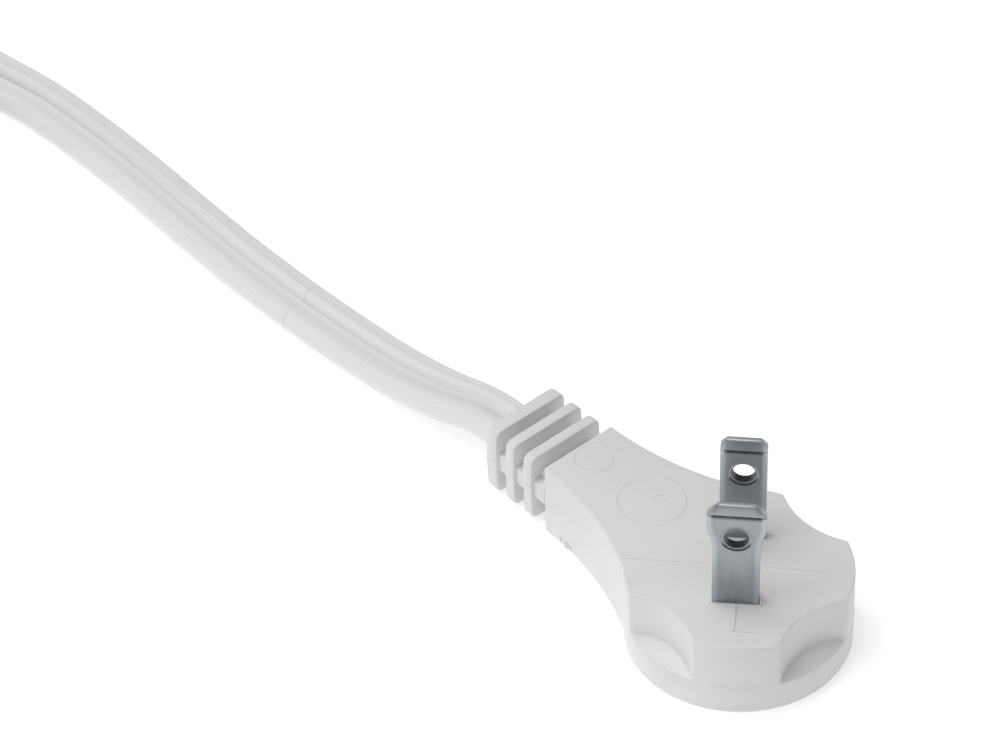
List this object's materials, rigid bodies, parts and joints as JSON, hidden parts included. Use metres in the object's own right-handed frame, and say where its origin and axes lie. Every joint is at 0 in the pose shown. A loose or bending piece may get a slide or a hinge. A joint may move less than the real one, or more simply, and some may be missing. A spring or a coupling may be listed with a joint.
{
  "type": "extension cord",
  "caption": "Indoor extension cord of flat parallel cord: an angled low-profile polarised plug with a finned strain relief, a tied hank, and a slim tap with twist-to-close outlets.",
  "frame": {"origin": "centre of the plug's flat back, straight below the midpoint between the blades", "axes": "+Z along the blades, out of the plug's face; +X along a blade's width; +Y from the neutral blade to the line blade. The whole cord lies on the plane Z = 0"},
  "size_m": [0.2188, 0.2046, 0.0297],
  "materials": {
    "body": "satin white vinyl",
    "cord": "satin white vinyl insulation",
    "blade": "nickel-plated brass, fine drawn grain",
    "carrier": "natural nylon",
    "strands": "bare copper strands",
    "tie": "plastic-coated wire",
    "tap": "white moulded shell",
    "cover": "white moulded cover",
    "contact": "stamped brass",
    "screw": "zinc-plated"
  },
  "bodies": {
    "cord_set": {"plug_body": "body", "blade_carrier": "carrier", "neutral_blade": "blade", "line_blade": "blade", "plug_neutral_lead": "cord", "plug_line_lead": "cord", "plug_neutral_strands": "strands", "plug_line_strands": "strands", "strain_relief": "body", "cord_run": "cord", "cord_hank": "cord", "cord_tail": "cord", "cord_tie_west": "tie", "cord_tie_east": "tie", "tap_base": "tap", "tap_top": "tap", "neutral_bus": "contact", "line_bus": "contact", "tap_neutral_lead": "cord", "tap_line_lead": "cord", "tap_neutral_strands": "strands", "tap_line_strands": "strands", "tap_strain_relief": "tap", "tap_screws": "screw"},
    "cover_1": {"outlet_cover_1": "cover"},
    "cover_2": {"outlet_cover_2": "cover"},
    "cover_3": {"outlet_cover_3": "cover"}
  },
  "joints": [
    {"name": "cover_1_twist", "type": "hinge", "parent": "cord_set", "child": "cover_1", "pos_m": [-0.161, 0.0345, 0.02105], "axis": [0, 0, -1], "range_deg": [0, 90]},
    {"name": "cover_2_twist", "type": "hinge", "parent": "cord_set", "child": "cover_2", "pos_m": [-0.161, 0.056, 0.02105], "axis": [0, 0, -1], "range_deg": [0, 90]},
    {"name": "cover_3_twist", "type": "hinge", "parent": "cord_set", "child": "cover_3", "pos_m": [-0.161, 0.0775, 0.02105], "axis": [0, 0, -1], "range_deg": [0, 90]}
  ]
}
